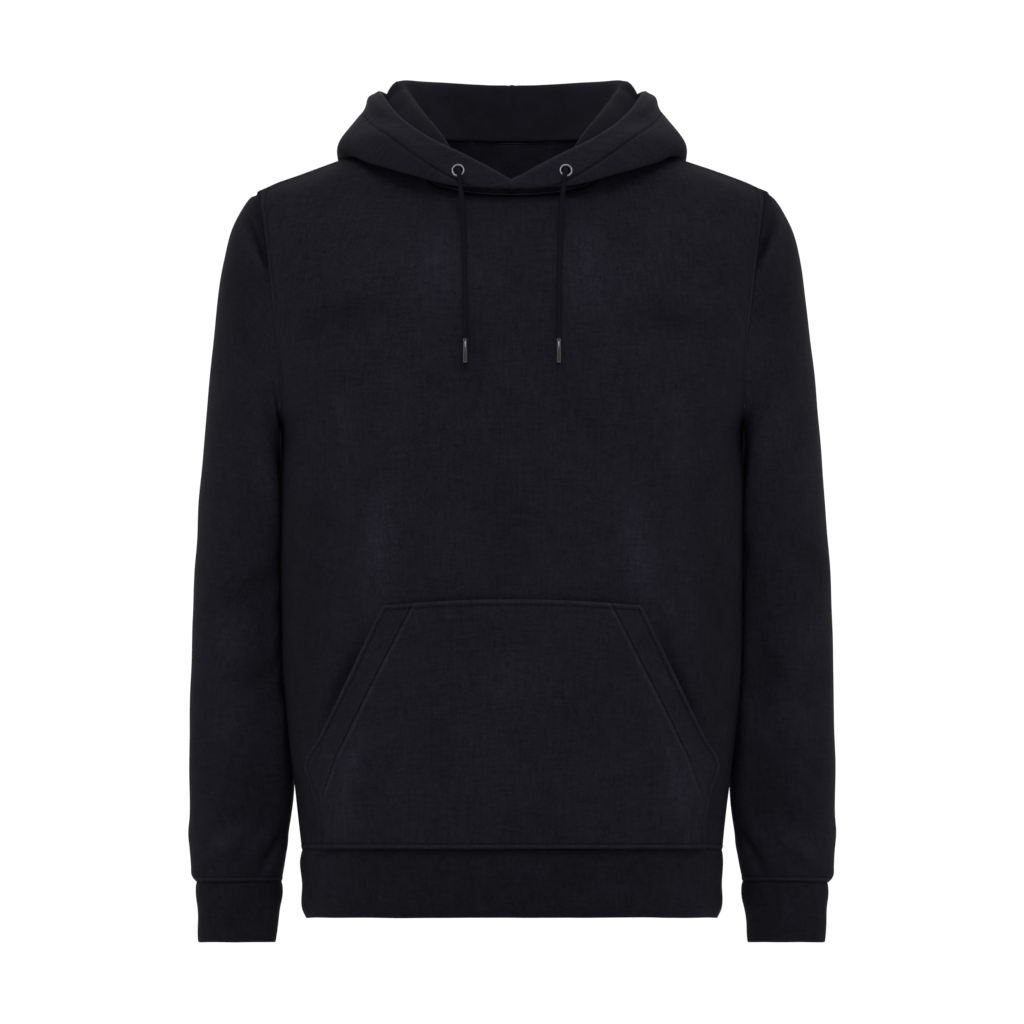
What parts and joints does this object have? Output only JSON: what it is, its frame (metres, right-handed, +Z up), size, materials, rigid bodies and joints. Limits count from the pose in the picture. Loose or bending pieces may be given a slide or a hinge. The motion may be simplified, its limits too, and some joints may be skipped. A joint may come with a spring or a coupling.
{
  "type": "pullover hoodie",
  "caption": "Brushed-fleece pullover hoodie filled out as worn: hollow body and long sleeves, lowered hood with drawcord, pouch pocket, hem band and cuffs.",
  "frame": {"origin": "in the middle of the neck opening, level with the shoulder line beside the hood, where the garment is held by its wearer", "axes": "+Z up, front of the garment towards -Y, wearer's left towards +X"},
  "size_m": [0.594, 0.3012, 0.7917],
  "materials": {
    "fleece": "matte brushed knit fleece, near-black navy",
    "drawcord": "matte round braided cord",
    "gunmetal": "dark satin gunmetal"
  },
  "bodies": {
    "root": {"body_front": "fleece", "body_back": "fleece", "hem_band": "fleece", "pocket": "fleece", "sleeve_left": "fleece", "sleeve_right": "fleece", "cuff_left": "fleece", "cuff_right": "fleece", "hood_left": "fleece", "hood_right": "fleece", "eyelet_left": "gunmetal", "eyelet_right": "gunmetal", "cord_left": "drawcord", "cord_right": "drawcord", "tip_left": "gunmetal", "tip_right": "gunmetal"}
  },
  "joints": []
}
